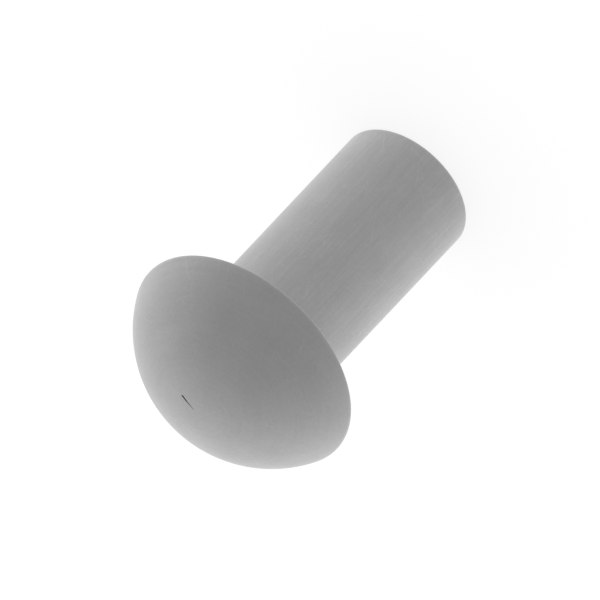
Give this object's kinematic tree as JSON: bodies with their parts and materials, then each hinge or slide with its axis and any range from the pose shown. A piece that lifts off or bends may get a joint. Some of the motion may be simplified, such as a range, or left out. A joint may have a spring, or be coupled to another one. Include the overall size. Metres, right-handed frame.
{
  "type": "round head rivet",
  "caption": "Solid round head rivet: a domed head with a flat underside on a plain cylindrical shank, set by upsetting its tail.",
  "frame": {"origin": "centre of the head's flat underside, where the head seats on the joined sheets and from which the shank's length is measured", "axes": "+Z along the rivet's axis from the tail to the crown of the head; the rivet is round, so +X and +Y are any two directions square to it"},
  "size_m": [0.0088, 0.0088, 0.013],
  "materials": {
    "steel": "satin, as drawn, cold headed and tumbled"
  },
  "bodies": {
    "root": {"rivet": "steel"}
  },
  "joints": []
}
